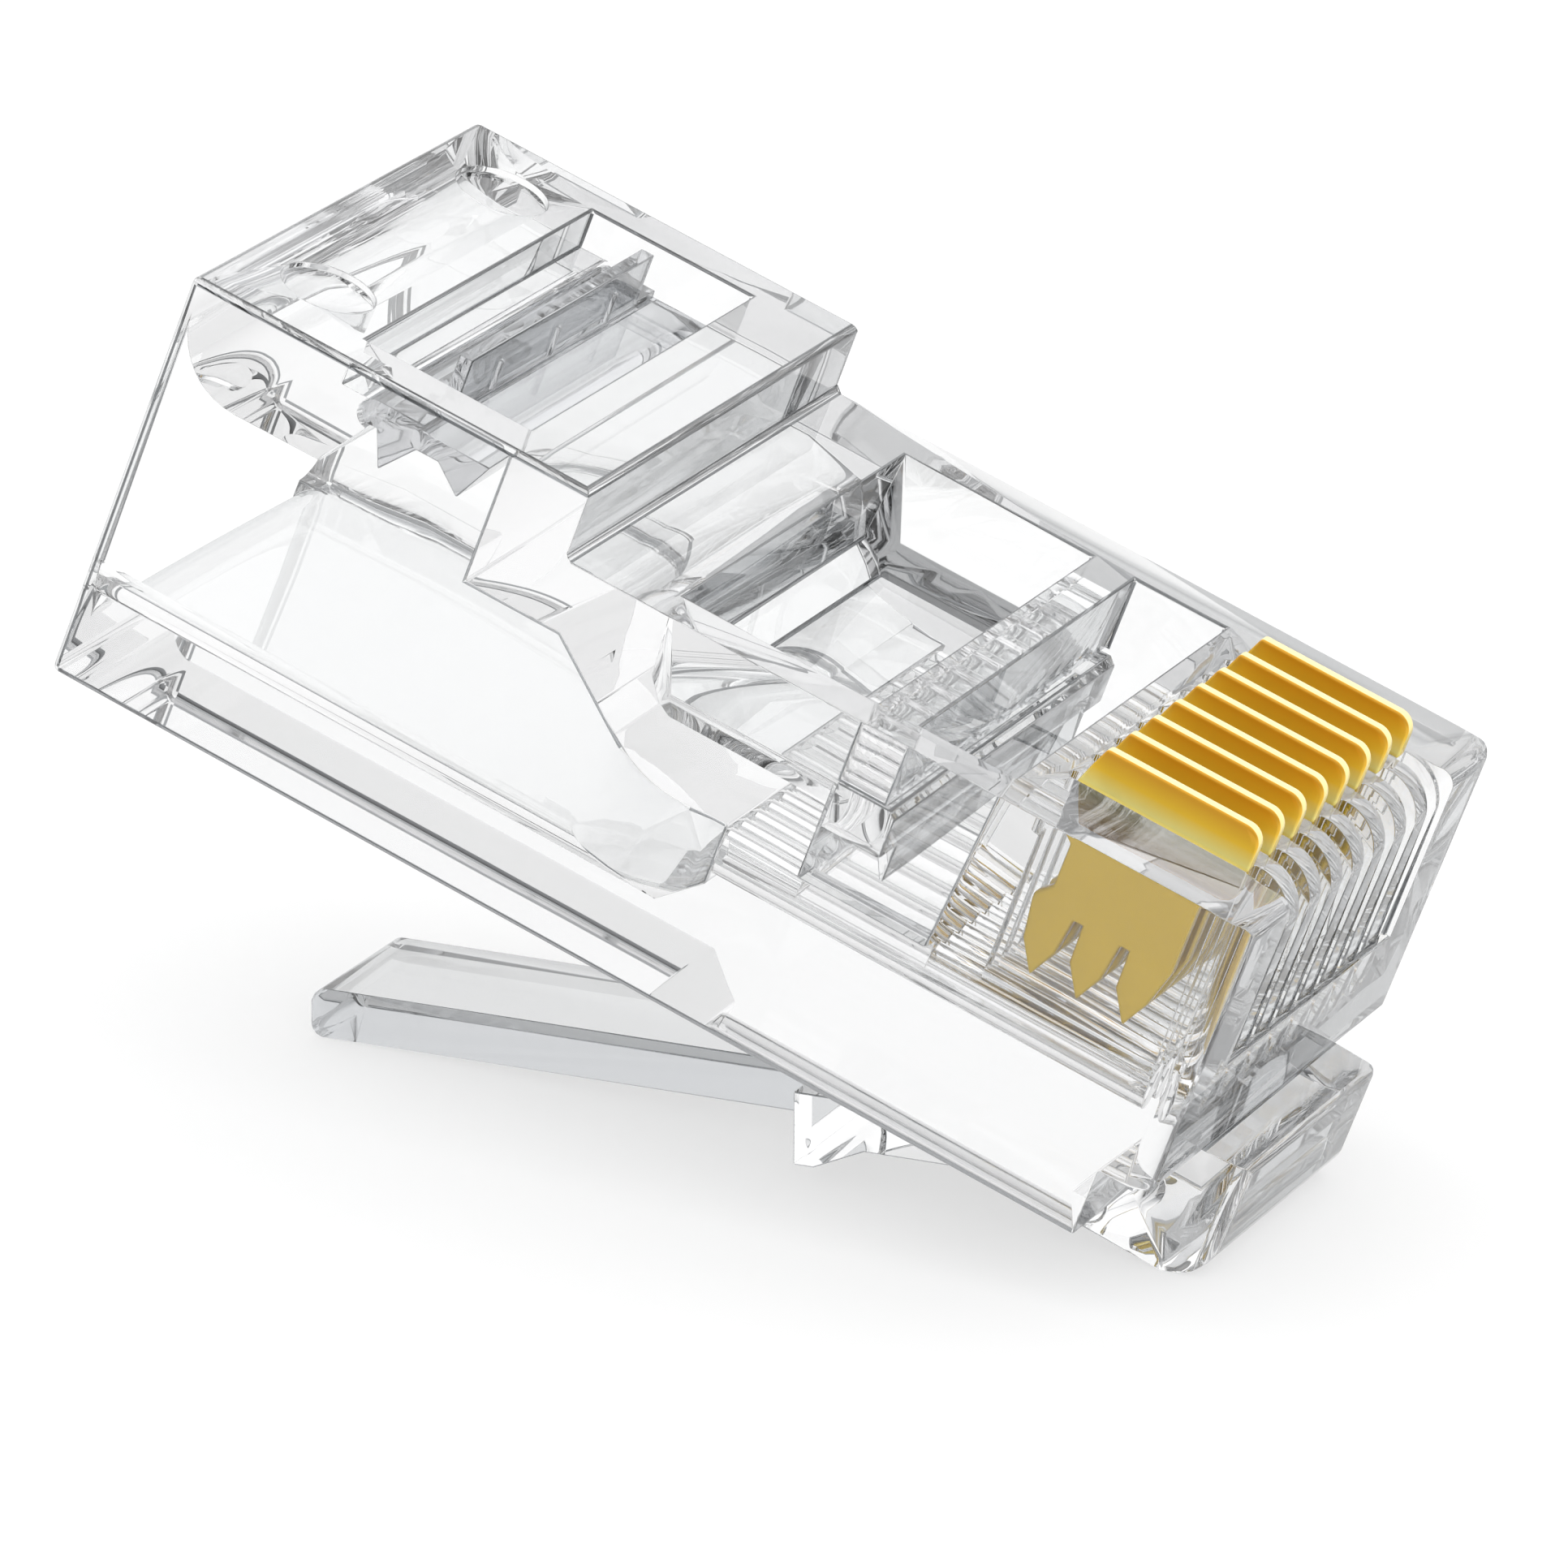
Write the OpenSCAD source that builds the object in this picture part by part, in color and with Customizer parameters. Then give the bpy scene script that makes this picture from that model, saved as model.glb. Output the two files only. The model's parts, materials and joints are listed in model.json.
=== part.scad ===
/* [Body] */
// Width of the moulded body across the eight contacts
body_w = 11.68; // [11.6:0.02:12.4]
// Height of the low front deck above the underside
deck_h = 6.92; // [6.8:0.02:7.2]
// Height of the raised cable end above the underside
rear_h = 8.34; // [8.1:0.02:9]
// Height of the nose's underside above the body's underside
nose_lift = 1.4; // [1.2:0.05:1.6]
// How far the nose stands in front of the lower body
nose_over = 0.96; // [0.8:0.02:1.2]
// Radius of the upright corners of the nose
nose_corner_r = 0.45; // [0.2:0.05:0.7]

/* [Cable space] */
// Thickness of the side walls beside the cable jacket
side_wall = 1.09; // [0.9:0.01:1.3]
// Thickness of the floor under the jacket
floor_t = 1.35; // [1.1:0.05:1.5]
// Height of the throat between the floor and the rear top block
throat_h = 4.65; // [4.5:0.05:4.8]
// Radius of the lead-in under the rear top block
mouth_r = 1.4; // [0.8:0.1:1.5]
// Radius of the lead-in on the floor's rear edge
sill_r = 0.6; // [0.3:0.05:0.9]
// Radius of the long lower corners of the cable space
cavity_corner_r = 0.8; // [0.3:0.1:1]

/* [Top openings] */
// Thickness of the walls beside the middle pocket and the front opening
window_wall = 0.99; // [0.9:0.01:1.1]
// Front edge of the front opening, behind the nose face
clamp_front_x = 5.3; // [5.25:0.05:5.4]
// Length of the front opening
clamp_len = 1.95; // [1.8:0.05:2.1]
// Length of the bridge between the front opening and the middle pocket
bridge_len = 0.9; // [0.8:0.05:1.1]
// Length of the middle pocket
pocket_len = 4.05; // [3.5:0.05:4.4]
// Height of the middle pocket's floor above the underside
pocket_z = 4.75; // [4.6:0.05:4.9]
// Chamfer round the middle pocket's floor
pocket_chamfer = 0.55; // [0.3:0.05:0.8]
// Length of the low roof between the middle pocket and the riser
roof_len = 2; // [1.7:0.1:2.4]
// Length of the raised roof between the riser and the rear opening
raised_len = 1.8; // [1.5:0.1:2.2]
// Length of the rear opening
relief_len = 3.5; // [3.3:0.1:3.8]
// Length of the top block between the rear opening and the cable end
block_len = 3.1; // [3:0.1:4]

/* [Contacts] */
// Number of contacts
ways = 8; // [2:2:8]
// Distance between neighbouring contacts
pitch = 1.02; // [1:0.01:1.04]
// Thickness of a contact blade
blade_t = 0.3; // [0.26:0.01:0.36]
// Clearance on each side of a blade in its slot
blade_gap = 0.03; // [0.02:0.01:0.05]
// Height of the crowns above the underside before crimping
crown_z = 7.7; // [7.4:0.05:7.8]
// Height of the tine tips above the underside before crimping
tine_z = 3.5; // [3.4:0.05:3.7]
// Front edge of a blade, behind the nose face
blade_front_x = 1.05; // [1:0.05:1.2]
// Length of a blade's crown along the body
crown_len = 3.5; // [3.3:0.05:3.7]
// Radius of a conductor channel
channel_r = 0.48; // [0.4:0.01:0.49]
// Height of the channels' axes above the underside
channel_z = 2.72; // [2.6:0.02:2.8]
// Width of the slots that the jack's springs enter at the nose
nose_slot_w = 0.46; // [0.42:0.01:0.6]
// Height of the bottom of those slots above the underside
nose_slot_z = 3.45; // [3.35:0.05:3.8]
// Radius of the ribs' upper front corners
comb_r = 0.85; // [0.5:0.05:1]

/* [Latch] */
// Width of the latch's wide part and of its root
latch_w = 6.2; // [6:0.05:6.3]
// Width of the latch's tail
tail_w = 3.25; // [3:0.05:3.3]
// Thickness of the lever next to its hinge
lever_t = 0.68; // [0.6:0.02:0.72]
// Slope of the lever between the hinge and the knee, in degrees
lever_slope = 7; // [5:0.5:8]
// Slope of the tail, in degrees
tail_slope = 21; // [18:0.5:22]
// Thickness of the tail
tail_t = 0.95; // [0.85:0.05:1]
// Length of the tail behind the shoulders
tail_len = 10.45; // [10:0.05:11]
// Distance from the hinge to the shoulders along the body
shoulder_x = 5.5; // [5.3:0.05:5.8]
// Depth of the shoulders below the underside of the tail
catch_drop = 0.45; // [0.3:0.05:0.6]
// How far the latch's root stands in front of the nose
root_front = 0.95; // [0.8:0.05:1.1]
// Depth of the root below the body's underside
root_drop = 1.18; // [1.1:0.02:1.25]
// Radius of the root's lower front corner
root_r = 1; // [0.6:0.05:1.1]
// Running clearance round the hinge's knuckle
hinge_gap = 0.04; // [0.02:0.01:0.06]

/* [Hidden] */
$fn = 48;

over = 0.6;
clear_colour = [0.9, 0.93, 0.95, 0.45];
gold_colour = [0.95, 0.72, 0.18];

// Facets of a quarter turn in the outlines, and of a quarter turn of a small radius
quarter_steps = 10;
small_steps = 3;

function arc(cx, cz, r, from, to, steps) =
    [for (i = [0 : steps]) let (a = from + (to - from) * i / steps)
        [cx + r * cos(a), cz + r * sin(a)]];

// Places behind the nose face are counted backwards, so x is minus the distance.
bridge_front_x = clamp_front_x + clamp_len;
pocket_front_x = bridge_front_x + bridge_len;
pocket_rear_x = pocket_front_x + pocket_len;
riser_x = pocket_rear_x + roof_len;
relief_front_x = riser_x + raised_len;
relief_rear_x = relief_front_x + relief_len;
body_len = relief_rear_x + block_len;
cavity_w = body_w - 2 * side_wall;
window_w = body_w - 2 * window_wall;

// Cable space: the ceiling comes down to the conductor channels
ceiling_drop_behind = 2;
ceiling_drop_x = relief_front_x - ceiling_drop_behind;
cavity_behind = 1.75;
cavity_front_x = pocket_front_x + cavity_behind;
ceiling_low_run = 0.3;
ceiling_low_x = cavity_front_x + ceiling_low_run;
ramp_run = 0.8;
ramp_rear_x = cavity_front_x + ramp_run;
ramp_top_z = 2.1;
ceiling_rear_z = 5.3;
ceiling_low_z = 3.35;
// It slopes down steeply and ends level, in an arc
ceiling_slope = 38;
ceiling_bend_r = 2.4;
ceiling_arc_drop = ceiling_bend_r * (1 - cos(ceiling_slope));
ceiling_arc_x = ceiling_drop_x - (ceiling_rear_z - ceiling_low_z - ceiling_arc_drop) / tan(ceiling_slope);
ceiling_bend_x = ceiling_arc_x - ceiling_bend_r * sin(ceiling_slope);
throat_z = floor_t + throat_h;
throat_len = 1.8;
taper_run = 0.4;
taper_rear_x = pocket_rear_x + taper_run;
comb_w = ways * pitch;

// Living hinge of the strain relief, carried on a thin ledge of the rear block
ledge_t = 0.5;
relief_hinge_ahead = 0.75;
relief_hinge_depth = 1.04;
relief_hinge_x = relief_rear_x - relief_hinge_ahead;
relief_hinge_z = rear_h - relief_hinge_depth;
relief_knuckle_r = ledge_t / 2;

// Strain relief bar
plate_t = 0.28;
plate_rise = 0.19;
plate_side = 0.91;
plate_w = cavity_w - 2 * plate_side;
plate_ahead = 0.7;
bar_side_gap = 0.12;
bite_ahead = 0.42;
bite_root_ahead = 0.14;
bite_depth = 0.95;
toe_ahead = 2.4;
toe_tip_ahead = 1.99;
toe_root_ahead = 1.44;
toe_depth = 0.7;
rib_r = 0.08;
rib_h = 0.6;
rib_spread = 2.4;

// Conductor clamp bar
bridge_z = 5.45;
bridge_rib_h = 0.06;
bridge_rib_w = 0.24;
bar_gap = 0.05;
bar_front_proud = 0.28;
bar_top_z = bridge_z - bridge_rib_h - bar_gap;
bar_chamfer = 0.15;
bar_low_z = 4.4;
bar_tip_z = 3.65;
bar_heel_z = 4;
tooth_len = 0.5;
tooth_blunt = 0.08;
clamp_low_w = comb_w;
clamp_lower_z = 3.3;
clamp_lean = 0.25;
clamp_rear_x = pocket_front_x + bar_gap * 2;

// Contacts
blade_slot_w = blade_t + 2 * blade_gap;
blade_rear_x = blade_front_x + crown_len;
crown_r = 0.34;
crown_rear_run = 0.3;
crown_rear_drop = 0.75;
neck_in = 0.55;
neck_front_in = 0.36;
neck_z = 6.15;
crown_low_z = 6.9;
shoulder_z = 5;
shoulder_out = 0.28;
tine_root_z = 4.85;
tine_waist_z = 4.1;
tines = 3;
tine_gap_share = 0.2;
tine_side_share = 0.12;
slot_gap = 0.04;
slot_end_depth = 0.9;

// Comb at the nose
comb_side = 0.1;
comb_recess = 0.12;
comb_half_w = (ways - 1) / 2 * pitch + nose_slot_w / 2 + comb_side;
channel_end_x = 0.95;

// Ejector marks on the rear block
mark_r = 0.9;
mark_depth = 0.12;
mark_from_end = 1.7;
mark_from_side = 2.24;
mark_x = body_len - mark_from_end;
mark_y = body_w / 2 - mark_from_side;

// Latch root, hinge and lever
root_back_x = 1.6;
root_corner_r = 0.3;
root_top_r = 0.15;
root_in = 0.4;
knuckle_r = lever_t / 2;
latch_axis_z = -0.7;
shoulder_drop = 1.46;
catch_flat = 0.4;
catch_run = 1.4;
tail_heel_r = 0.25;
tail_lip_r = 0.32;

// The lever's points are built along its two slopes
axis_pt = [-root_back_x, latch_axis_z];
function along(slope) = [-cos(slope), -sin(slope)];
function above(slope) = [-sin(slope), cos(slope)];
tail_base = [axis_pt[0] - shoulder_x, latch_axis_z - knuckle_r - shoulder_drop];
function on_tail(s, h) = tail_base + s * along(tail_slope) + h * above(tail_slope);
knuckle_top = axis_pt + knuckle_r * above(lever_slope);
knuckle_low = axis_pt - knuckle_r * above(lever_slope);
// Where the lever's slope meets the tail's slope
function cross2(a, b) = a[0] * b[1] - a[1] * b[0];
function meet(p, u, q, v) = p + u * cross2(q - p, v) / cross2(u, v);
knee_top = meet(knuckle_top, along(lever_slope), on_tail(0, tail_t), along(tail_slope));
knee_low = meet(knuckle_low, along(lever_slope), on_tail(0, 0), along(tail_slope));

// The plug lies on its root and on the end of its tail
root_centre = [root_front - root_r, root_r - root_drop];
heel_centre = on_tail(tail_len - tail_heel_r, tail_heel_r);
rest_span = root_centre - heel_centre;
rest_tilt = acos((root_r - tail_heel_r) / norm(rest_span)) - atan2(rest_span[0], rest_span[1]);
function rest_x(p) = p[0] * cos(rest_tilt) + p[1] * sin(rest_tilt);
function rest_z(p) = p[1] * cos(rest_tilt) - p[0] * sin(rest_tilt);
floor_z = rest_z(root_centre) - root_r;
deck_edge_r = 0.3;
front_reach = rest_x([-deck_edge_r, deck_h - deck_edge_r]) + deck_edge_r;
rear_reach = rest_x([-body_len, 0]);

// Turns the level plug to the pose in which it lies, over the middle of its footprint
module seat() {
    translate([-(front_reach + rear_reach) / 2, 0, -floor_z])
        rotate([0, rest_tilt, 0])
            children();
}

// A side outline in x and z, as wide as w across the middle plane
module side(points, w) {
    translate([0, w / 2, 0]) rotate([90, 0, 0]) linear_extrude(w) polygon(points);
}

// A bar of length w along y
module cross_bar(x, z, r, w) {
    translate([x, w / 2, z]) rotate([90, 0, 0]) cylinder(h = w, r = r);
}

// A box from x0 back to x1 and from z0 up to z1, w wide across the middle plane
module block(x0, x1, z0, z1, w) {
    translate([-x1, -w / 2, z0]) cube([x1 - x0, w, z1 - z0]);
}

module body_outline() {
    side(concat(
        [[-body_len, 0], [-nose_over, 0], [-nose_over, nose_lift], [0, nose_lift]],
        arc(-deck_edge_r, deck_h - deck_edge_r, deck_edge_r, 0, 90, quarter_steps),
        [[-riser_x, deck_h], [-riser_x, rear_h], [-body_len, rear_h]]), body_w);
}

// Plan of the body: upright corners of the nose are rounded
module body_plan() {
    translate([0, 0, -over]) linear_extrude(rear_h + 2 * over) union() {
        translate([-body_len - over, -body_w / 2])
            square([body_len + over - nose_corner_r, body_w]);
        translate([-2 * nose_corner_r, nose_corner_r - body_w / 2])
            square([2 * nose_corner_r, body_w - 2 * nose_corner_r]);
        for (s = [-1, 1])
            translate([-nose_corner_r, s * (body_w / 2 - nose_corner_r)]) circle(nose_corner_r);
    }
}

module latch_root() {
    intersection() {
        side(concat(
            [[-root_back_x, -root_drop]],
            arc(root_centre[0], root_centre[1], root_r, -90, 0, quarter_steps),
            arc(root_front - root_top_r, nose_lift - root_top_r, root_top_r, 0, 90, small_steps),
            [[-nose_over / 2, nose_lift], [-nose_over / 2, nose_lift + root_in],
             [-nose_over - root_in, nose_lift + root_in], [-nose_over - root_in, root_in],
             [-root_back_x, root_in]]), latch_w);
        translate([0, 0, -root_drop - over]) linear_extrude(root_drop + nose_lift + 2 * over) union() {
            translate([-root_back_x - over, -latch_w / 2])
                square([root_back_x + over + root_front - root_corner_r, latch_w]);
            translate([root_front - 2 * root_corner_r, root_corner_r - latch_w / 2])
                square([2 * root_corner_r, latch_w - 2 * root_corner_r]);
            for (s = [-1, 1])
                translate([root_front - root_corner_r, s * (latch_w / 2 - root_corner_r)])
                    circle(root_corner_r);
        }
    }
}

// The jacket's space with the rear opening over it, seen from the side
module cable_space_side() {
    side(concat(
        [[-body_len - over, floor_t], [-ramp_rear_x, floor_t],
         [-cavity_front_x, ramp_top_z], [-cavity_front_x, ceiling_low_z],
         [-ceiling_low_x, ceiling_low_z]],
        arc(-ceiling_bend_x, ceiling_low_z + ceiling_bend_r, ceiling_bend_r,
            270, 270 - ceiling_slope, quarter_steps),
        [[-ceiling_drop_x, ceiling_rear_z], [-relief_front_x, ceiling_rear_z],
         [-relief_front_x, rear_h + over], [-relief_rear_x, rear_h + over],
         [-relief_rear_x, relief_hinge_z + ledge_t / 2], [-relief_hinge_x, relief_hinge_z + ledge_t / 2],
         [-relief_hinge_x, relief_hinge_z - ledge_t / 2],
         [-body_len + mouth_r + throat_len, throat_z]],
        arc(-body_len + mouth_r, throat_z + mouth_r, mouth_r, 270, 180, quarter_steps),
        [[-body_len - over, throat_z + mouth_r]]), body_w);
}

// The same space from above, narrowing to the row of channels
module cable_space_plan() {
    translate([0, 0, -over]) linear_extrude(rear_h + 2 * over) polygon([
        [-body_len - over, -cavity_w / 2], [-taper_rear_x, -cavity_w / 2],
        [-ceiling_low_x, -comb_w / 2], [0, -comb_w / 2],
        [0, comb_w / 2], [-ceiling_low_x, comb_w / 2],
        [-taper_rear_x, cavity_w / 2], [-body_len - over, cavity_w / 2]]);
}

// The same space from behind, with round lower corners
module cable_space_end() {
    translate([-body_len - over, 0, 0]) rotate([90, 0, 90])
        linear_extrude(body_len + over) union() {
            translate([-cavity_w / 2, floor_t + cavity_corner_r]) square([cavity_w, rear_h]);
            translate([cavity_corner_r - cavity_w / 2, floor_t])
                square([cavity_w - 2 * cavity_corner_r, rear_h]);
            for (s = [-1, 1])
                translate([s * (cavity_w / 2 - cavity_corner_r), floor_t + cavity_corner_r])
                    circle(cavity_corner_r);
        }
}

// Round sill that leads the jacket onto the floor
module sill() {
    side(concat(
        [[-body_len - over, floor_t + sill_r], [-body_len - over, floor_t - sill_r]],
        arc(-body_len + sill_r, floor_t - sill_r, sill_r, 180, 90, quarter_steps),
        [[-body_len + sill_r, floor_t + sill_r]]), cavity_w - 2 * cavity_corner_r);
}

module cable_space() {
    intersection() {
        cable_space_side();
        cable_space_plan();
        cable_space_end();
    }
    sill();
}

// Upright walls and a chamfer round the floor, which runs up the rear corners to a point
module middle_pocket() {
    half = window_w / 2;
    ledge_z = pocket_z + pocket_chamfer;
    corner_lean = atan(pocket_chamfer / (sqrt(2) * (deck_h - ledge_z)));
    difference() {
        intersection() {
            side([[-pocket_front_x - bar_gap, deck_h + over], [-pocket_rear_x, deck_h + over],
                  [-pocket_rear_x, ledge_z], [-pocket_rear_x + pocket_chamfer, pocket_z],
                  [-pocket_front_x - bar_gap, pocket_z]], window_w);
            translate([-pocket_rear_x, 0, 0]) rotate([90, 0, 90]) linear_extrude(pocket_len)
                polygon([[-half, deck_h + over], [-half, ledge_z], [pocket_chamfer - half, pocket_z],
                         [half - pocket_chamfer, pocket_z], [half, ledge_z], [half, deck_h + over]]);
        }
        for (s = [0, 1]) mirror([0, s, 0])
            translate([-pocket_rear_x, half, deck_h]) rotate([0, 0, 135]) rotate([0, corner_lean, 0])
                translate([0, -2 * pocket_chamfer, pocket_z - deck_h - over])
                    cube([2 * pocket_chamfer, 4 * pocket_chamfer, deck_h - pocket_z + 2 * over]);
    }
    block(pocket_front_x, pocket_front_x + 2 * bar_gap, bridge_z, deck_h + over, window_w);
}

module clamp_pocket() {
    side([[-clamp_rear_x, clamp_lower_z], [-clamp_rear_x, bridge_z], [-bridge_front_x, bridge_z],
          [-bridge_front_x, deck_h + over], [-clamp_front_x, deck_h + over],
          [-clamp_front_x, deck_h], [-clamp_front_x - clamp_lean, clamp_lower_z]], window_w);
    block(clamp_front_x + clamp_lean, clamp_rear_x, channel_z, clamp_lower_z + over, clamp_low_w);
}

module conductor_channels() {
    for (i = [0 : ways - 1])
        translate([-cavity_front_x - over, (i - (ways - 1) / 2) * pitch, channel_z])
            rotate([0, 90, 0])
                cylinder(h = cavity_front_x + over - channel_end_x, r = channel_r);
}

// One slot for a blade, open at the nose for the jack's spring
module blade_slot(y) {
    translate([0, y, 0]) {
        block(blade_front_x - slot_gap, blade_rear_x + slot_gap, channel_z, deck_h + over,
              blade_slot_w);
        block(-over, blade_front_x, nose_slot_z, deck_h + over, nose_slot_w);
        translate([-blade_rear_x - slot_gap, 0, deck_h - slot_end_depth])
            cylinder(h = slot_end_depth + over, r = blade_slot_w / 2);
    }
}

// What is taken off the ribs so that they stand back from the nose with round corners
module comb_relief() {
    corner = comb_recess + comb_r;
    side(concat(
        [[over, deck_h + over], [over, nose_slot_z], [-comb_recess, nose_slot_z]],
        arc(-corner, deck_h - comb_r, comb_r, 0, 90, quarter_steps),
        [[-corner, deck_h + over]]), 2 * comb_half_w);
}

module housing_level() {
    difference() {
        union() {
            intersection() {
                body_outline();
                body_plan();
            }
            latch_root();
        }
        cable_space();
        middle_pocket();
        clamp_pocket();
        conductor_channels();
        comb_relief();
        for (i = [0 : ways - 1]) blade_slot((i - (ways - 1) / 2) * pitch);
        cross_bar(-relief_hinge_x, relief_hinge_z, relief_knuckle_r + hinge_gap, cavity_w);
        cross_bar(-root_back_x, latch_axis_z, knuckle_r + hinge_gap, latch_w + over);
        for (s = [-1, 1])
            translate([-mark_x, s * mark_y, rear_h - mark_depth])
                cylinder(h = mark_depth + over, r = mark_r);
    }
    // Ribs under the bridge that part the conductors
    for (i = [0 : ways])
        translate([0, (i - ways / 2) * pitch, 0])
            block(bridge_front_x, pocket_front_x, bridge_z - bridge_rib_h, bridge_z + bar_gap,
                  bridge_rib_w);
}

module housing() {
    color(clear_colour) seat() housing_level();
}

// The wide part carries the catches, the narrow tail is pressed by a finger
module latch_lever() {
    color(clear_colour) seat() {
        shoulder_low = on_tail(0, -catch_drop);
        side([knuckle_top, knee_top, on_tail(0, tail_t), shoulder_low,
              shoulder_low + catch_flat * [cos(tail_slope), sin(tail_slope)],
              on_tail(-catch_run, 0), knee_low, knuckle_low], latch_w);
        cross_bar(-root_back_x, latch_axis_z, knuckle_r, latch_w);
        lip = on_tail(tail_len - tail_lip_r, tail_t - tail_lip_r);
        side(concat(
            [on_tail(-lever_t, tail_t)],
            [on_tail(-lever_t, lever_t / 2), on_tail(0, 0)],
            arc(heel_centre[0], heel_centre[1], tail_heel_r,
                tail_slope - 90, tail_slope - 180, quarter_steps),
            arc(lip[0], lip[1], tail_lip_r, tail_slope + 180, tail_slope + 90, quarter_steps)), tail_w);
    }
}

module strain_relief_bar() {
    x = -relief_hinge_x;
    z = relief_hinge_z;
    bar_w = cavity_w - 2 * bar_side_gap;
    color(clear_colour) seat() {
        cross_bar(x, z, relief_knuckle_r, bar_w);
        // Two biting edges under a flat web
        side([[x, z + relief_knuckle_r], [x + plate_ahead + plate_t, z + relief_knuckle_r],
              [x + plate_ahead + plate_t, z + relief_knuckle_r / 2],
              [x + toe_ahead, z + relief_knuckle_r / 2], [x + toe_tip_ahead, z - toe_depth],
              [x + toe_root_ahead, z - relief_knuckle_r],
              [x + plate_ahead + plate_t, z - relief_knuckle_r],
              [x + bite_ahead, z - bite_depth], [x + bite_root_ahead, z - relief_knuckle_r],
              [x, z - relief_knuckle_r]], bar_w);
        // Upright plate that the crimping tool presses
        block(-x - plate_ahead - plate_t, -x - plate_ahead, z, rear_h + plate_rise, plate_w);
        for (i = [-1 : 1])
            translate([x + plate_ahead + plate_t, i * rib_spread, rear_h - rib_h - plate_rise])
                cylinder(h = rib_h, r = rib_r);
    }
}

module conductor_clamp_bar() {
    front = bridge_front_x - bar_front_proud;
    rear = clamp_rear_x - bar_gap;
    color(clear_colour) seat() {
        side([[-rear, bar_top_z], [-front - bar_chamfer, bar_top_z], [-front, bar_top_z - bar_chamfer],
              [-front, bar_low_z], [-rear, bar_low_z]], window_w - 2 * bar_gap);
        // Two teeth across the conductors
        side([[-front, bar_low_z + bar_chamfer], [-front, bar_tip_z], [-front - tooth_blunt, bar_tip_z],
              [-front - tooth_len, bar_low_z + bar_chamfer]], clamp_low_w - 2 * bar_gap);
        side([[-rear, bar_low_z + bar_chamfer], [-rear, bar_heel_z], [-rear + tooth_blunt, bar_heel_z],
              [-rear + tooth_len, bar_low_z + bar_chamfer]], clamp_low_w - 2 * bar_gap);
    }
}

// A blade with a round crown above and three pointed tines below
module contact(i) {
    front = -blade_front_x;
    rear = -blade_rear_x;
    neck_rear = rear + neck_in;
    neck_front = front - neck_front_in;
    low_rear = neck_rear - shoulder_out;
    span = (neck_front - low_rear) / tines;
    y = (i - (ways + 1) / 2) * pitch;
    color(gold_colour) seat() translate([0, y, 0])
        side(concat(
            [[rear, crown_low_z], [rear + crown_rear_run / 2, crown_z - crown_rear_drop / 2],
             [rear + crown_rear_run, crown_z]],
            arc(front - crown_r, crown_z - crown_r, crown_r, 90, 0, quarter_steps),
            [[front, crown_low_z], [neck_front, crown_low_z - neck_front_in]],
            [for (k = [tines - 1 : -1 : 0]) let (right = low_rear + span * (k + 1),
                                                 left = low_rear + span * k)
                each [[right - (k < tines - 1 ? span * tine_gap_share / 2 : 0), tine_root_z],
                      [right - span * tine_gap_share, tine_waist_z],
                      [left + span / 2, tine_z],
                      [left + span * tine_side_share, tine_waist_z],
                      [left + (k > 0 ? span * tine_gap_share / 2 : 0), tine_root_z]]],
            [[low_rear, shoulder_z], [neck_rear, shoulder_z + shoulder_out],
             [neck_rear, neck_z], [rear, crown_low_z - shoulder_out]]), blade_t);
}

housing();
latch_lever();
strain_relief_bar();
conductor_clamp_bar();
contact(1);  // contact_1
contact(2);  // contact_2
contact(3);  // contact_3
contact(4);  // contact_4
contact(5);  // contact_5
contact(6);  // contact_6
contact(7);  // contact_7
contact(8);  // contact_8
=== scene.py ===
"""Looks of a clear rj45 modular plug: a clear polycarbonate moulding and eight gold-plated blades."""

import json
import logging
import math
from collections.abc import Callable
from dataclasses import dataclass
from enum import IntEnum

import bmesh
import bpy
from mathutils import Matrix, Vector


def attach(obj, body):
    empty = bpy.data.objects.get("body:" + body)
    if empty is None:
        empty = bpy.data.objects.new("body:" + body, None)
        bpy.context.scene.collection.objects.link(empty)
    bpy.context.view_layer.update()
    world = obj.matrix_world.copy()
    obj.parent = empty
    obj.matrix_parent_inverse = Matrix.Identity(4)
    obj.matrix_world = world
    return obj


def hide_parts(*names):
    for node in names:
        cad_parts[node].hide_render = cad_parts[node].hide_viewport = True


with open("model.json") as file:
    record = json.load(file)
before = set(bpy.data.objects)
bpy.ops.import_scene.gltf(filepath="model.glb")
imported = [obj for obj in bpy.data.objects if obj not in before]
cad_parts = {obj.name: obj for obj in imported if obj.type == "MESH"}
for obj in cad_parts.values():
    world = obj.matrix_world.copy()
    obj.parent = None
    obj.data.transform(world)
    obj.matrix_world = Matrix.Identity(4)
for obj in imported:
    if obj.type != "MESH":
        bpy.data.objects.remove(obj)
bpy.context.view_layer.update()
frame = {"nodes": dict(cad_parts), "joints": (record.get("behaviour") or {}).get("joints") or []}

LOG = logging.getLogger("modular_plug")
MM = 0.001
WELD = 0.0005 * MM
FLAT_WITHIN_DEG = 0.5
SMOOTH_UNDER_DEG = 50
ROOM_SHARE = 1.3
ROUND_PROFILE = 0.5
LARGEST_FACE = 4
AREA_WEIGHT = 100
WHITE = "ffffff"


class Surface(IntEnum):
    """Kinds of face on a piece, each with its own material slot."""

    FACE = 0
    # Rounded rims: painted grey lines on the moulding, a painted shade, and a painted cream highlight on
    # the blades.
    RIM = 1
    # Faces painted an even soft grey, a painted shade.
    PANEL_SHADE = 2


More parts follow.
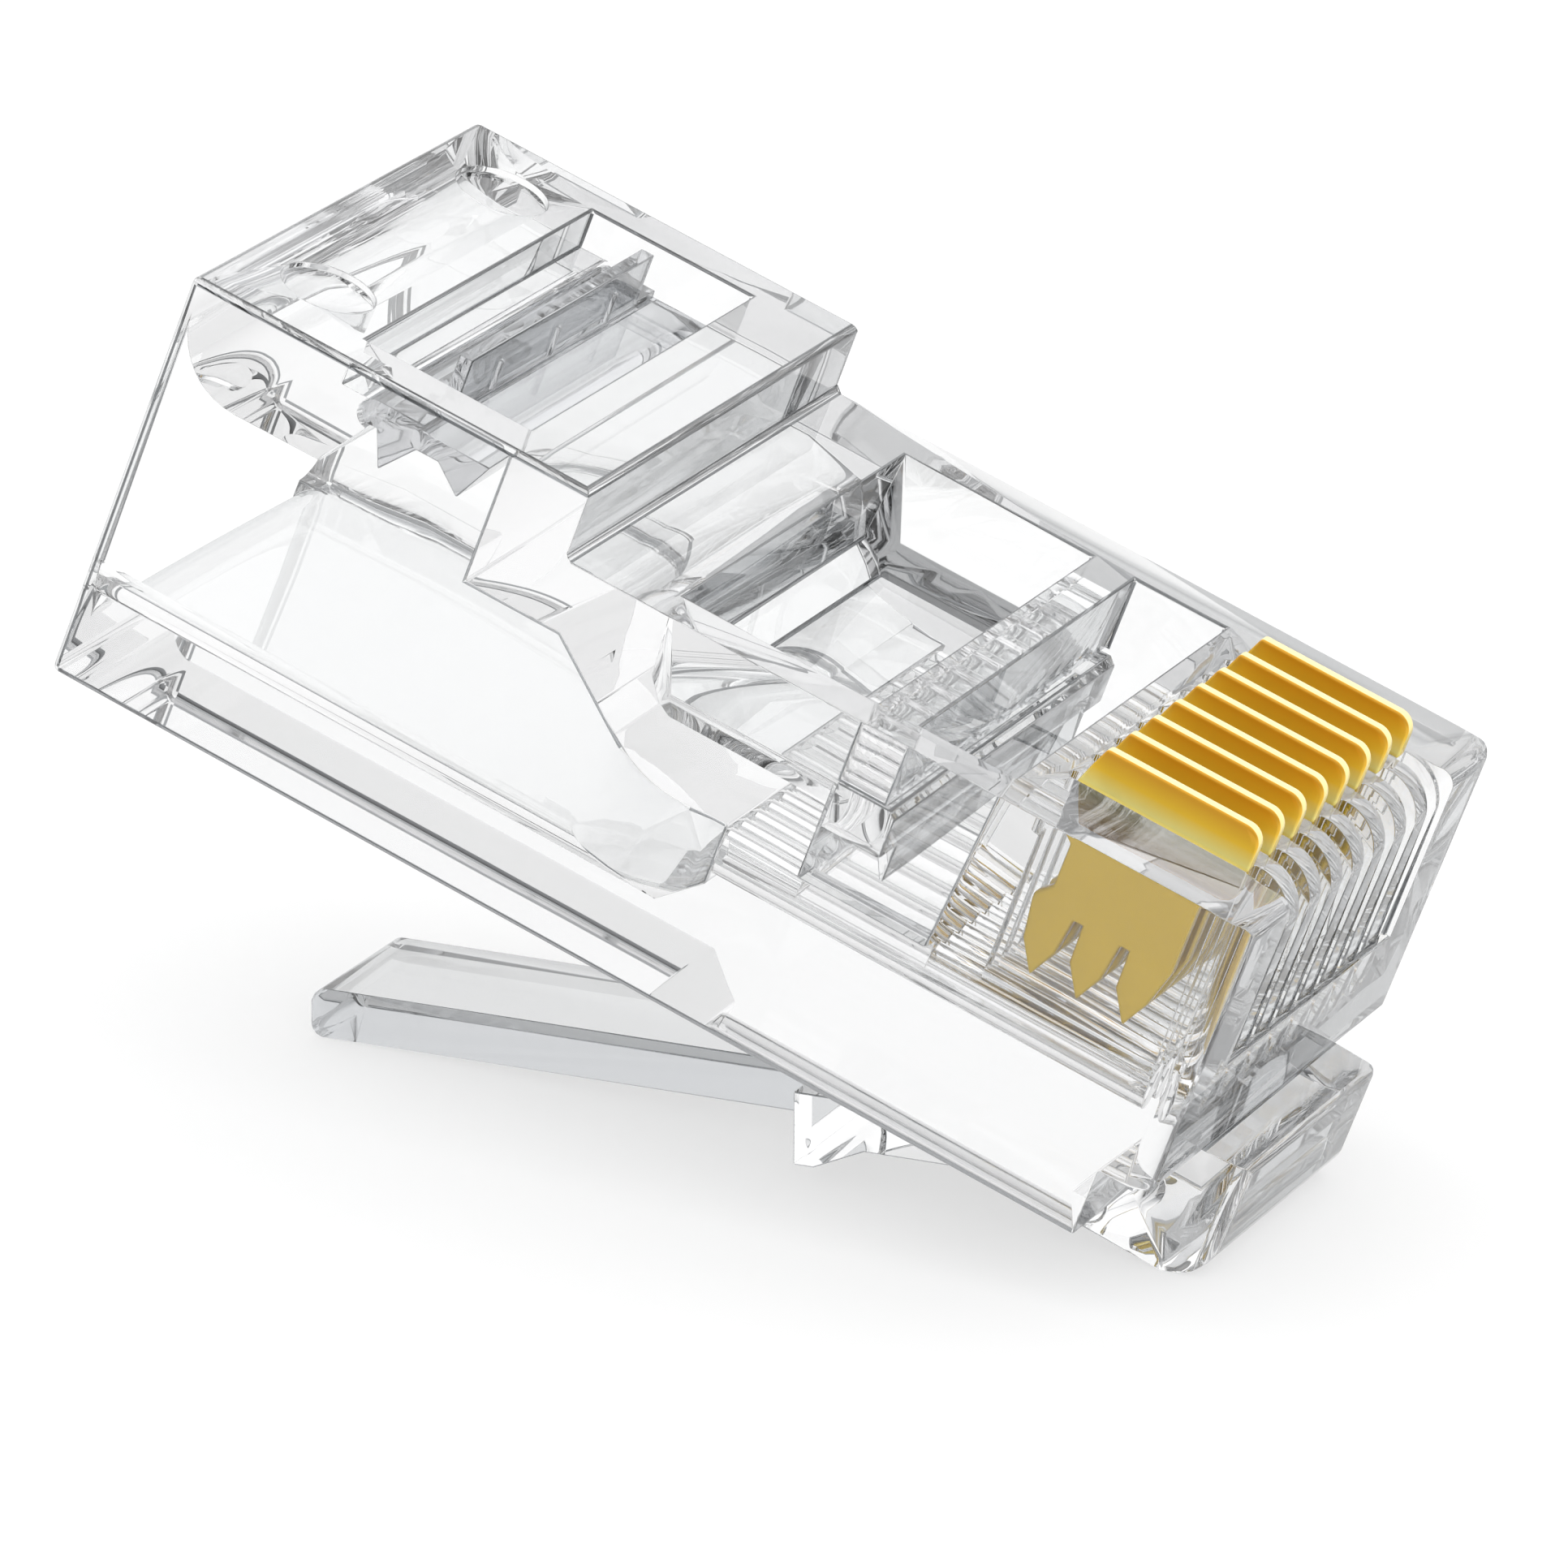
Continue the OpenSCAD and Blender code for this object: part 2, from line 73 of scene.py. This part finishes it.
def linear(hex_colour: str, alpha: float = 1.0) -> tuple[float, float, float, float]:
    """Turns an sRGB hex colour into linear light.

    Args:
        hex_colour: Six hex digits, such as "f2f4f5".
        alpha: Alpha of the result.

    Returns:
        Linear red, green, blue and alpha.
    """
    def channel(share: float) -> float:
        """One channel by the curve of the sRGB standard."""
        return share / 12.92 if share <= 0.04045 else ((share + 0.055) / 1.055) ** 2.4

    red, green, blue = (int(hex_colour[i:i + 2], 16) / 255 for i in (0, 2, 4))
    return channel(red), channel(green), channel(blue), alpha


def add_node(tree: bpy.types.NodeTree, kind: str, settings: dict | None = None,
             inputs: dict | None = None) -> bpy.types.Node:
    """Adds a node with its settings and its inputs' values or links.

    Args:
        tree: The tree that gets the node.
        kind: The node's type name.
        settings: Properties of the node.
        inputs: Values or output sockets by input name or number.

    Returns:
        The new node.
    """
    node = tree.nodes.new(kind)
    for name, value in (settings or {}).items():
        setattr(node, name, value)
    for key, value in (inputs or {}).items():
        if isinstance(value, bpy.types.NodeSocket):
            tree.links.new(value, node.inputs[key])
        else:
            node.inputs[key].default_value = value
    return node


def set_stops(ramp: bpy.types.Node, places: tuple[float, ...], colours: tuple[str, ...]) -> None:
    """Gives a colour ramp its stops.

    Args:
        ramp: The ramp node.
        places: Places of the stops, rising from 0 to 1.
        colours: Their colours as sRGB hex.
    """
    stops = ramp.color_ramp.elements
    while len(stops) < len(places):
        stops.new(places[len(stops)])
    for stop, place, colour in zip(stops, places, colours):
        stop.position = place
        stop.color = linear(colour)


def empty_material(name: str) -> bpy.types.Material:
    """Makes a material with an empty node tree.

    Args:
        name: Its name.

    Returns:
        The new material.
    """
    material = bpy.data.materials.new(name)
    material.use_nodes = True
    material.node_tree.nodes.clear()
    return material


@dataclass(frozen=True)
class PlugAxes:
    """The level plug's own axes in the row frame: distances ahead of the nose face and heights in mm."""

    origin: Vector
    ahead: Vector
    up: Vector

    @classmethod
    def from_joints(cls, joints: list[dict], hinge_back_mm: float,
                    hinge_depth_mm: float) -> "PlugAxes":
        """Works the axes out from the contact slides and the latch hinge.

        Args:
            joints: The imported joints.
            hinge_back_mm: Distance of the latch hinge behind the nose face.
            hinge_depth_mm: Depth of the latch hinge below the body's underside.

        Returns:
            The axes of the plug as it lies.
        """
        by_name = {joint["name"]: joint for joint in joints}
        up = -Vector(by_name["contact_1_slide"]["axis"]).normalized()
        across = Vector((0, 1, 0))
        ahead = across.cross(up).normalized()
        hinge = Vector(by_name["latch_hinge"]["pos_m"])
        return cls(hinge + (hinge_back_mm * ahead + hinge_depth_mm * up) * MM, ahead, up)

    def place(self, point: Vector) -> tuple[float, float, float]:
        """The place on the plug, in mm, of a point in the row frame, in metres."""
        offset = (point - self.origin) / MM
        return offset.dot(self.ahead), offset.y, offset.dot(self.up)


@dataclass(frozen=True)
class ClearPolycarbonate:
    """Polycarbonate, injection moulded in a polished tool: clear, hard and glossy.

    Faces seen edge-on are painted greyer by a ramp on how squarely they face the ray: a painted shade.
    The volume absorption greys light that takes a long way through.
    """

    name: str = "clear_polycarbonate_moulded_edge_on_shade"
    turned_shares: tuple[float, ...] = (0.0, 0.45, 0.6, 0.76, 0.92, 1.0)
    edge_on_shade_colours: tuple[str, ...] = ("fefefe", "fafbfb", "e8e9ea", "a9acae", "74777a", "4c4f52")
    ior: float = 1.585
    roughness: float = 0.0
    facing_blend: float = 0.5
    flow_mm: float = 2.6
    flow_detail: float = 1.0
    flow_height_mm: float = 0.0012
    depth_colour: str = "bcbcbd"
    depth_per_mm: float = 0.044

    def build(self) -> bpy.types.Material:
        """Makes the material.

        Returns:
            The finished material.
        """
        material = empty_material(self.name)
        tree = material.node_tree
        place = add_node(tree, "ShaderNodeTexCoord")
        flow = add_node(tree, "ShaderNodeTexNoise", {"noise_dimensions": "3D"},
                        {"Vector": place.outputs["Object"], "Scale": 1 / (self.flow_mm * MM),
                         "Detail": self.flow_detail})
        waves = add_node(tree, "ShaderNodeBump", {},
                         {"Height": flow.outputs["Fac"], "Strength": 1.0,
                          "Distance": self.flow_height_mm * MM})
        # The facing ramp is painted shade: faces seen edge-on turn greyer.
        turned = add_node(tree, "ShaderNodeLayerWeight", {}, {"Blend": self.facing_blend})
        tint = add_node(tree, "ShaderNodeValToRGB", {}, {"Fac": turned.outputs["Facing"]})
        set_stops(tint, self.turned_shares, self.edge_on_shade_colours)
        plastic = add_node(tree, "ShaderNodeBsdfPrincipled", {},
                           {"Base Color": tint.outputs["Color"], "Roughness": self.roughness,
                            "IOR": self.ior, "Transmission Weight": 1.0,
                            "Normal": waves.outputs["Normal"]})
        depth = add_node(tree, "ShaderNodeVolumeAbsorption", {},
                         {"Color": linear(self.depth_colour), "Density": self.depth_per_mm / MM})
        add_node(tree, "ShaderNodeOutputMaterial", {},
                 {"Surface": plastic.outputs["BSDF"], "Volume": depth.outputs["Volume"]})
        return material


@dataclass(frozen=True)
class GoldPlating:
    """Gold plating over rolled phosphor bronze, stamped to a blade: warm, bright and smooth.

    Its colour follows a ramp by height above the deck: painted light and painted highlight, not a change
    in the plating.
    """

    name: str
    axes: PlugAxes
    painted_light_heights: tuple[float, ...]
    colours: tuple[str, ...]
    lowest_mm: float = 5.7
    highest_mm: float = 7.7
    metallic: float = 0.35
    roughness: float = 0.3
    tarnish_mm: float = 0.7
    tarnish_detail: float = 3.0
    tarnish_share: float = 0.1
    tarnish_colour: str = "c4961e"
    grain_mm: float = 0.25
    grain_detail: float = 2.0
    grain_height_mm: float = 0.0005

    def build(self) -> bpy.types.Material:
        """Makes the material.

        Returns:
            The finished material.
        """
        material = empty_material(self.name)
        tree = material.node_tree
        place = add_node(tree, "ShaderNodeTexCoord")
        # The height ramp paints light onto the blade: its colour changes with height above the deck.
        foot = self.axes.origin + self.axes.up * self.lowest_mm * MM
        along = add_node(tree, "ShaderNodeVectorMath", {"operation": "SUBTRACT"},
                         {0: place.outputs["Object"], 1: foot})
        height = add_node(tree, "ShaderNodeVectorMath", {"operation": "DOT_PRODUCT"},
                          {0: along.outputs["Vector"], 1: self.axes.up})
        share = add_node(tree, "ShaderNodeMapRange", {},
                         {"Value": height.outputs["Value"], "From Min": 0.0,
                          "From Max": (self.highest_mm - self.lowest_mm) * MM})
        plating = add_node(tree, "ShaderNodeValToRGB", {}, {"Fac": share.outputs["Result"]})
        set_stops(plating, self.painted_light_heights, self.colours)
        cloud = add_node(tree, "ShaderNodeTexNoise", {},
                         {"Vector": place.outputs["Object"], "Scale": 1 / (self.tarnish_mm * MM),
                          "Detail": self.tarnish_detail})
        worn = add_node(tree, "ShaderNodeMath", {"operation": "MULTIPLY"},
                        {0: cloud.outputs["Fac"], 1: self.tarnish_share})
        tint = add_node(tree, "ShaderNodeMix", {"data_type": "RGBA"},
                        {"Factor": worn.outputs[0], "A": plating.outputs["Color"],
                         "B": linear(self.tarnish_colour)})
        grain = add_node(tree, "ShaderNodeTexNoise", {},
                         {"Vector": place.outputs["Object"], "Scale": 1 / (self.grain_mm * MM),
                          "Detail": self.grain_detail})
        relief = add_node(tree, "ShaderNodeBump", {},
                          {"Height": grain.outputs["Fac"], "Strength": 1.0,
                           "Distance": self.grain_height_mm * MM})
        gold = add_node(tree, "ShaderNodeBsdfPrincipled", {},
                        {"Base Color": tint.outputs["Result"], "Metallic": self.metallic,
                         "Roughness": self.roughness, "Normal": relief.outputs["Normal"]})
        add_node(tree, "ShaderNodeOutputMaterial", {}, {"Surface": gold.outputs["BSDF"]})
        return material


def merged_copy(node: str) -> bmesh.types.BMesh:
    """Copies a CAD node's loose triangles into one closed mesh with whole faces.

    Args:
        node: Name of the CAD node.

    Returns:
        The merged mesh, which the caller frees.
    """
    mesh = bmesh.new()
    mesh.from_mesh(frame["nodes"][node].data)
    bmesh.ops.remove_doubles(mesh, verts=mesh.verts, dist=WELD)
    bmesh.ops.dissolve_limit(mesh, angle_limit=math.radians(FLAT_WITHIN_DEG), verts=mesh.verts,
                             edges=mesh.edges)
    return mesh


def soften_edges(mesh: bmesh.types.BMesh, radius_mm: float, least_turn_deg: float,
                 segments: int = 2, rims: Surface = Surface.RIM,
                 chosen: Callable[[bmesh.types.BMEdge], bool] | None = None) -> None:
    """Rounds the sharp edges that have room for the radius.

    Args:
        mesh: The mesh to change.
        radius_mm: Width of the rounding.
        least_turn_deg: Least angle between an edge's faces.
        segments: Steps of the rounding.
        rims: Surface of the rounding's outer strips.
        chosen: Further test that an edge has to pass.
    """
    sharp = {edge for edge in mesh.edges
             if edge.is_manifold and edge.calc_face_angle(0) > math.radians(least_turn_deg)
             and (chosen is None or chosen(edge))
             and Surface.FACE in [face.material_index for face in edge.link_faces]}
    room = ROOM_SHARE * radius_mm * MM
    crowded = {vert for edge in mesh.edges
               if edge not in sharp and edge.calc_length() < room for vert in edge.verts}
    fitting = [edge for edge in sharp if crowded.isdisjoint(edge.verts)]
    before = set(mesh.faces)
    bmesh.ops.bevel(mesh, geom=fitting, offset=radius_mm * MM, offset_type="OFFSET", segments=segments,
                    profile=ROUND_PROFILE, affect="EDGES", clamp_overlap=False, material=rims)
    rounded = [face for face in mesh.faces
               if face.material_index == Surface.RIM and face not in before]
    inner = [face for face in rounded
             if all(other.material_index == Surface.RIM
                    for edge in face.edges for other in edge.link_faces)]
    for face in inner:
        face.material_index = Surface.FACE


def piece_from(mesh: bmesh.types.BMesh, name: str, *materials: bpy.types.Material) -> bpy.types.Object:
    """Makes an object of a mesh, smooth over its roundings and flat on its faces.

    Args:
        mesh: The finished mesh, which is freed.
        name: Name of the piece.
        materials: Its finishes, in the order of the surfaces.

    Returns:
        The new object.
    """
    large = [face for face in mesh.faces if len(face.verts) > LARGEST_FACE]
    bmesh.ops.triangulate(mesh, faces=large)
    data = bpy.data.meshes.new(name)
    mesh.to_mesh(data)
    mesh.free()
    data.shade_smooth()
    data.set_sharp_from_angle(angle=math.radians(SMOOTH_UNDER_DEG))
    for material in materials:
        data.materials.append(material)
    piece = bpy.data.objects.new(name, data)
    bpy.context.scene.collection.objects.link(piece)
    flat_faces = piece.modifiers.new("flat_faces", "WEIGHTED_NORMAL")
    flat_faces.mode = "FACE_AREA"
    flat_faces.weight = AREA_WEIGHT
    flat_faces.keep_sharp = True
    return piece


@dataclass
class ClearMoulding:
    """The clear moulding: body, latch, strain relief bar and clamp bar."""

    axes: PlugAxes
    finish: ClearPolycarbonate
    rim_shade_paint: ClearPolycarbonate
    panel_shade_paint: ClearPolycarbonate
    bar_shade_paint: ClearPolycarbonate
    half_width_mm: float = 5.84
    outer_edge_mm: float = 0.14
    outer_turn_deg: float = 30.0
    outer_segments: int = 4
    long_edge_mm: float = 1.5
    arc_step_mm: float = 0.3
    pocket_ahead_mm: tuple[float, float] = (-12.3, -8.2)
    pocket_z_mm: float = 4.7
    leaning_share: float = 0.95
    sideways_share: float = 0.3
    tail_half_mm: float = 1.7
    edge_mm: float = 0.05
    edge_turn_deg: float = 40.0
    fine_edge_mm: float = 0.026
    fine_share: float = 0.4

    def on_flank(self, edge: bmesh.types.BMEdge) -> bool:
        """Tells whether an edge is a long one on the body's near or far flank."""
        return (all(abs(abs(vert.co.y) - self.half_width_mm * MM) < WELD for vert in edge.verts)
                and edge.calc_length() > self.long_edge_mm * MM)

    def straight(self, edge: bmesh.types.BMEdge) -> bool:
        """Tells whether an edge is a straight one, no step of an arc and none of a face painted with the
        grey panel shade.
        """
        return (edge.calc_length() > self.arc_step_mm * MM
                and Surface.PANEL_SHADE not in [face.material_index for face in edge.link_faces])

    def mark_pocket_chamfer(self, mesh: bmesh.types.BMesh) -> None:
        """Paints the leaning faces beside the middle pocket's floor with the grey panel shade.

        Args:
            mesh: The housing's mesh.
        """
        rear, front = self.pocket_ahead_mm
        for face in mesh.faces:
            ahead, _, height = self.axes.place(face.calc_center_median())
            turns = face.normal.dot(self.axes.ahead), face.normal.y, face.normal.dot(self.axes.up)
            leans = max(map(abs, turns)) < self.leaning_share
            in_pocket = rear < ahead < front and height > self.pocket_z_mm
            if in_pocket and leans and abs(face.normal.y) > self.sideways_share:
                face.material_index = Surface.PANEL_SHADE

    def mark_tail_sides(self, mesh: bmesh.types.BMesh) -> None:
        """Paints the flat sides of the latch's narrow tail with the grey panel shade.

        Args:
            mesh: The lever's mesh, with its edges rounded.
        """
        for face in mesh.faces:
            if (face.material_index == Surface.FACE and abs(face.normal.y) > self.leaning_share
                    and abs(face.calc_center_median().y) < self.tail_half_mm * MM):
                face.material_index = Surface.PANEL_SHADE

    def build(self) -> list[bpy.types.Object]:
        """Builds and dresses every section of the moulding.

        Returns:
            The sections.
        """
        clear = self.finish.build()
        # The finishes of the moulding paint shade: the facing ramp, the grey rims, the grey panels and
        # the grey bar.
        bar = self.bar_shade_paint.build()
        rim_painted_shade = self.rim_shade_paint.build()
        panel_painted_shade = self.panel_shade_paint.build()
        pieces = []
        for node, radius, faces in (("housing", self.edge_mm, clear),
                                    ("latch_lever", self.fine_edge_mm, clear),
                                    ("strain_relief_bar", self.fine_edge_mm, bar),
                                    ("conductor_clamp_bar", self.fine_edge_mm, clear)):
            mesh = merged_copy(node)
            if node == "housing":
                self.mark_pocket_chamfer(mesh)
                soften_edges(mesh, self.outer_edge_mm, self.outer_turn_deg, self.outer_segments,
                             chosen=self.on_flank)
            soften_edges(mesh, radius, self.edge_turn_deg, chosen=self.straight)
            soften_edges(mesh, radius * self.fine_share, self.edge_turn_deg, rims=Surface.FACE)
            if node == "latch_lever":
                self.mark_tail_sides(mesh)
            piece = piece_from(mesh, "clear_" + node, faces, rim_painted_shade, panel_painted_shade)
            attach(piece, node)
            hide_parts(node)
            pieces.append(piece)
        return pieces


@dataclass
class Blades:
    """The eight gold-plated blades."""

    finish: GoldPlating
    edge_highlight_paint: GoldPlating
    count: int = 8
    edge_mm: float = 0.05
    edge_turn_deg: float = 30.0
    side_share: float = 0.2

    def build(self) -> list[bpy.types.Object]:
        """Rounds and dresses each blade: its rolled sides, with painted light, and its sheared edges, a
        little smoother and with a painted highlight.

        Returns:
            The blades.
        """
        sides = self.finish.build()
        edges = self.edge_highlight_paint.build()
        pieces = []
        for number in range(1, self.count + 1):
            node = f"contact_{number}"
            mesh = merged_copy(node)
            soften_edges(mesh, self.edge_mm, self.edge_turn_deg)
            for face in mesh.faces:
                # Side faces get the height-painted light, the sheared edges the painted cream highlight.
                on_side = abs(face.normal.y) > self.side_share
                face.material_index = Surface.FACE if on_side else Surface.RIM
            piece = piece_from(mesh, f"gold_blade_{number}", sides, edges)
            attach(piece, node)
            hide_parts(node)
            pieces.append(piece)
        return pieces


@dataclass
class Studio:
    """Plain white floor, soft light and the photograph's camera."""

    floor_size_m: float = 4.0
    floor_colour: str = "e9e9e9"
    floor_glow: float = 1.14
    floor_glow_share: float = 0.55
    backdrop_share: float = 1.1
    sky_shares: tuple[float, ...] = (0.0, 0.3, 0.52, 0.74, 0.84)
    sky_colours: tuple[str, ...] = ("585a5c", "747678", "a8aaac", "f2f2f2", "ffffff")
    sky_strength: float = 1.3
    tent_strength: float = 1.4
    camera_azimuth_deg: float = 22.92
    camera_elevation_deg: float = 20.01
    camera_roll_deg: float = 4.55
    camera_distance_mm: float = 226.41
    camera_aim_mm: tuple[float, float, float] = (0.465, -0.345, 6.431)
    camera_reach_m: tuple[float, float] = (0.01, 20.0)
    sensor_mm: float = 36.0
    lens_mm: float = 286.12

    def build(self) -> None:
        """Builds the floor, the light and the camera."""
        self.make_floor()
        self.make_world()
        self.make_camera()

    @staticmethod
    def seen_directly(tree: bpy.types.NodeTree, rays: bpy.types.Node) -> bpy.types.NodeSocket:
        """Finds what the camera sees plainly, in a reflection or through the plastic.

        Args:
            tree: The material's or world's tree.
            rays: Its light path node.

        Returns:
            One for those rays, zero for the rays that light a surface.
        """
        plain = add_node(tree, "ShaderNodeMath", {"operation": "MAXIMUM"},
                         {0: rays.outputs["Is Camera Ray"], 1: rays.outputs["Is Glossy Ray"]})
        through = add_node(tree, "ShaderNodeMath", {"operation": "MAXIMUM"},
                           {0: plain.outputs[0], 1: rays.outputs["Is Transmission Ray"]})
        return through.outputs[0]

    def make_floor(self) -> None:
        """Makes the floor on which the plug lies."""
        half = self.floor_size_m / 2
        data = bpy.data.meshes.new("floor")
        data.from_pydata([(-half, -half, 0), (half, -half, 0), (half, half, 0), (-half, half, 0)],
                         [], [(0, 1, 2, 3)])
        floor = bpy.data.objects.new("floor", data)
        bpy.context.scene.collection.objects.link(floor)
        material = empty_material("white_studio_card")
        tree = material.node_tree
        card = add_node(tree, "ShaderNodeBsdfDiffuse", {}, {"Color": linear(self.floor_colour)})
        glow = add_node(tree, "ShaderNodeEmission", {},
                        {"Color": linear(WHITE), "Strength": self.floor_glow})
        rays = add_node(tree, "ShaderNodeLightPath")
        seen = self.seen_directly(tree, rays)
        share = add_node(tree, "ShaderNodeMath", {"operation": "MULTIPLY"},
                         {0: seen, 1: self.floor_glow_share})
        surface = add_node(tree, "ShaderNodeMixShader", {},
                           {0: share.outputs[0], 1: card.outputs[0], 2: glow.outputs[0]})
        add_node(tree, "ShaderNodeOutputMaterial", {}, {"Surface": surface.outputs[0]})
        data.materials.append(material)

    def make_world(self) -> None:
        """Makes the studio: bright overhead and behind the plug, darker round the camera.

        Surfaces that scatter light are lit evenly, as in a light tent.
        """
        world = bpy.data.worlds.new("studio")
        bpy.context.scene.world = world
        world.use_nodes = True
        tree = world.node_tree
        tree.nodes.clear()
        place = add_node(tree, "ShaderNodeTexCoord")
        azimuth = math.radians(self.camera_azimuth_deg)
        behind = Vector((-math.sin(azimuth), math.cos(azimuth), 0))
        bright = (behind * self.backdrop_share + Vector((0, 0, 1))).normalized()
        towards = add_node(tree, "ShaderNodeVectorMath", {"operation": "DOT_PRODUCT"},
                           {0: place.outputs["Generated"], 1: bright})
        share = add_node(tree, "ShaderNodeMapRange", {},
                         {"Value": towards.outputs["Value"], "From Min": -1.0, "From Max": 1.0})
        ramp = add_node(tree, "ShaderNodeValToRGB", {}, {"Fac": share.outputs["Result"]})
        set_stops(ramp, self.sky_shares, self.sky_colours)
        studio = add_node(tree, "ShaderNodeBackground", {},
                          {"Color": ramp.outputs["Color"], "Strength": self.sky_strength})
        tent = add_node(tree, "ShaderNodeBackground", {},
                        {"Color": linear(WHITE), "Strength": self.tent_strength})
        rays = add_node(tree, "ShaderNodeLightPath")
        light = add_node(tree, "ShaderNodeMixShader", {},
                         {0: rays.outputs["Is Diffuse Ray"], 1: studio.outputs[0], 2: tent.outputs[0]})
        add_node(tree, "ShaderNodeOutputWorld", {}, {"Surface": light.outputs[0]})

    def make_camera(self) -> None:
        """Makes the camera at the photograph's place."""
        data = bpy.data.cameras.new("photo_camera")
        data.sensor_width = self.sensor_mm
        data.lens = self.lens_mm
        data.clip_start, data.clip_end = self.camera_reach_m
        camera = bpy.data.objects.new("photo_camera", data)
        bpy.context.scene.collection.objects.link(camera)
        bpy.context.scene.camera = camera
        azimuth = math.radians(self.camera_azimuth_deg)
        elevation = math.radians(self.camera_elevation_deg)
        back = Vector((math.sin(azimuth) * math.cos(elevation),
                       -math.cos(azimuth) * math.cos(elevation), math.sin(elevation)))
        turn = (-back).to_track_quat("-Z", "Y").to_matrix().to_4x4()
        roll = Matrix.Rotation(math.radians(self.camera_roll_deg), 4, "Z")
        place = Matrix.Translation((Vector(self.camera_aim_mm) + back * self.camera_distance_mm) * MM)
        camera.matrix_world = place @ turn @ roll


def follow_light_through_plastic(scene: bpy.types.Scene, crossings: int = 20,
                                 noise: float = 0.04) -> None:
    """Lets light cross and mirror in the clear moulding until it comes out again.

    Args:
        scene: The scene.
        crossings: Faces that a ray of light may cross or mirror in.
        noise: Noise at which a pixel counts as finished, which keeps those many crossings quick.
    """
    scene.cycles.adaptive_threshold = noise
    scene.cycles.max_bounces = crossings
    scene.cycles.glossy_bounces = crossings
    scene.cycles.transmission_bounces = crossings


def main() -> None:
    """Builds the plug's looks and the studio round it."""
    logging.basicConfig(level=logging.INFO, format="%(name)s %(message)s")
    axes = PlugAxes.from_joints(frame["joints"], hinge_back_mm=1.6, hinge_depth_mm=0.7)
    # The rounded rims are painted grey, a painted shade for the thin grey lines that rims show where
    # they bend the light away from the eye.
    rims = ClearPolycarbonate("clear_polycarbonate_rims_painted_shade", (0.0, 1.0), ("8c9093", "707376"))
    # The pocket chamfers and the latch tail's flat sides are painted an even soft grey, a painted shade.
    panel_painted_shade = ClearPolycarbonate("clear_polycarbonate_panels_painted_shade", (0.0, 1.0), ("c4c6c8", "b4b7b9"))
    # The thin bar is close to its own far faces, whose grey shows all over it; that grey is painted on
    # as shade, greyer edge-on.
    bar = ClearPolycarbonate("clear_polycarbonate_thin_bar_painted_shade", (0.0, 0.6, 1.0),
                             ("dedfe1", "c6c8ca", "8c8f92"))
    # The blade sides are painted by height, from yellow at the tines over a pale band to ochre at the
    # crown: painted light, with the pale band a painted highlight and the ochre a painted shade.
    plating = GoldPlating("gold_plated_bronze_stamped_painted_light", axes,
                          (0.0, 0.55, 0.64, 0.8, 0.96),
                          ("fbd21a", "fbd21a", "fff090", "f6c838", "d89c22"))
    # The sheared edges are burnished, a little smoother; their pale cream towards the crowns is a
    # painted highlight.
    burnished_with_highlight = GoldPlating("gold_plated_bronze_sheared_edges_painted_highlight", axes,
                            (0.0, 0.55, 0.7, 1.0),
                            ("e4ba2c", "e6be30", "f8da66", "fff2ae"), roughness=0.22)
    moulding = ClearMoulding(axes, ClearPolycarbonate(), rims, panel_painted_shade, bar)
    for assembly in (moulding, Blades(plating, burnished_with_highlight)):
        for piece in assembly.build():
            LOG.info("%s: %d faces", piece.name, len(piece.data.polygons))
    Studio().build()
    bpy.context.scene.view_settings.view_transform = "Standard"
    follow_light_through_plastic(bpy.context.scene)


if __name__ == "__main__":
    main()
